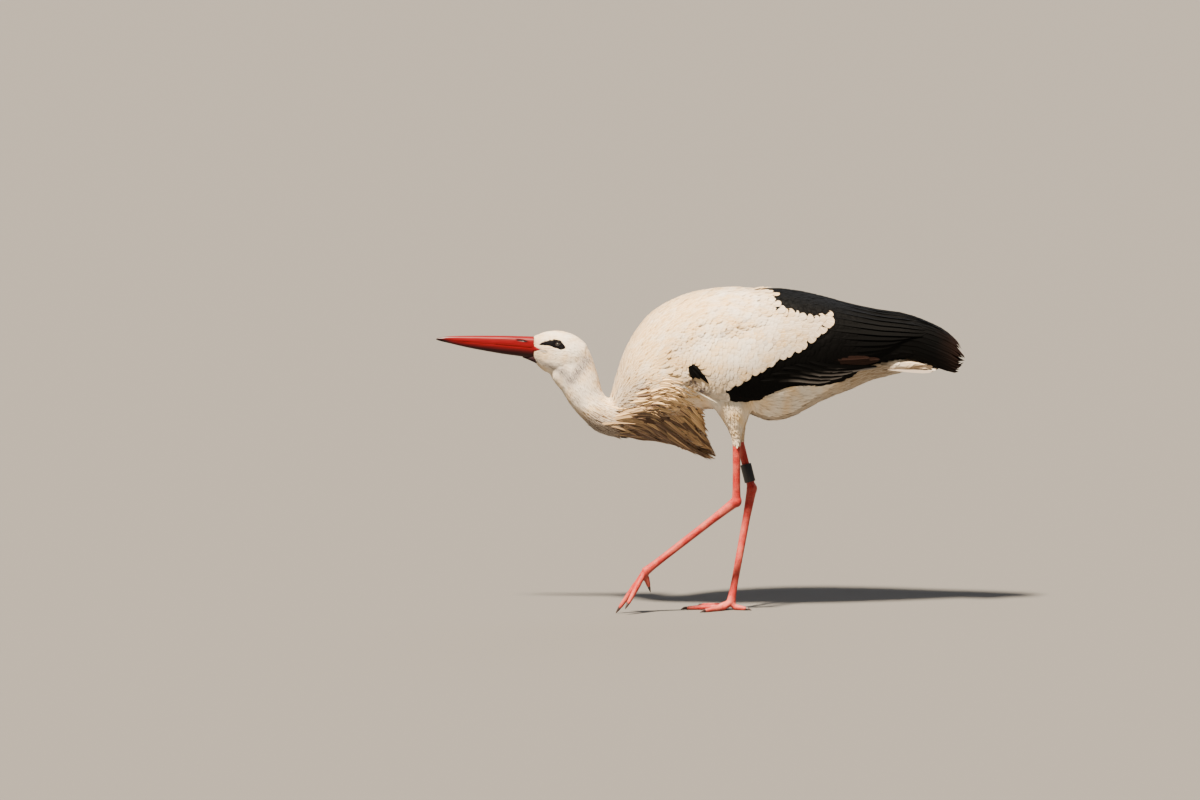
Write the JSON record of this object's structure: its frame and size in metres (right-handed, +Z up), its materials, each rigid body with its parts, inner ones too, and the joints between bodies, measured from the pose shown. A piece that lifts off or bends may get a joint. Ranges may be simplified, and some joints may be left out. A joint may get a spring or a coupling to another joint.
{
  "type": "white stork",
  "caption": "Life-size still model of a white stork stepping forward with its neck bent low, its bill level and its wings folded.",
  "frame": {"origin": "on the floor, below the middle of the length from the bill's tip to the wing tips, in the bird's middle plane", "axes": "+X towards the tail, so the bird faces -X; +Y towards the bird's right side; +Z up"},
  "size_m": [0.979, 0.214, 0.6028],
  "materials": {
    "body_plumage": "matte white body feathers, cream on the breast and shoulder",
    "wing_white": "matte white wing coverts",
    "wing_black": "black flight feathers with a low sheen, brown at the worn tips",
    "tail_white": "matte white tail feathers",
    "plume_cream": "long cream breast feathers with dark brown shafts",
    "bill_red": "satin red horn, darker at the tip",
    "leg_red": "scaly coral-red skin",
    "eye": "wet dark brown, nearly black",
    "claw": "dull dark horn",
    "ring_black": "plain black plastic"
  },
  "bodies": {
    "root": {"trunk": "body_plumage", "tail": "tail_white", "head": "body_plumage", "eye_left": "eye", "eye_right": "eye", "neck_upper": "body_plumage", "neck_lower": "body_plumage", "breast_plumes": "plume_cream", "bill_upper": "bill_red", "bill_lower": "bill_red", "wing_coverts_left": "wing_white", "flight_feathers_left": "wing_black", "wing_coverts_right": "wing_white", "flight_feathers_right": "wing_black", "thigh_left": "body_plumage", "hock_left": "leg_red", "shin_left": "leg_red", "tarsus_left": "leg_red", "toe_middle_left": "leg_red", "claw_middle_left": "claw", "toe_inner_left": "leg_red", "claw_inner_left": "claw", "toe_outer_left": "leg_red", "claw_outer_left": "claw", "toe_hind_left": "leg_red", "claw_hind_left": "claw", "thigh_right": "body_plumage", "hock_right": "leg_red", "shin_right": "leg_red", "tarsus_right": "leg_red", "toe_middle_right": "leg_red", "claw_middle_right": "claw", "toe_inner_right": "leg_red", "claw_inner_right": "claw", "toe_outer_right": "leg_red", "claw_outer_right": "claw", "toe_hind_right": "leg_red", "claw_hind_right": "claw", "leg_ring": "ring_black"}
  },
  "joints": []
}
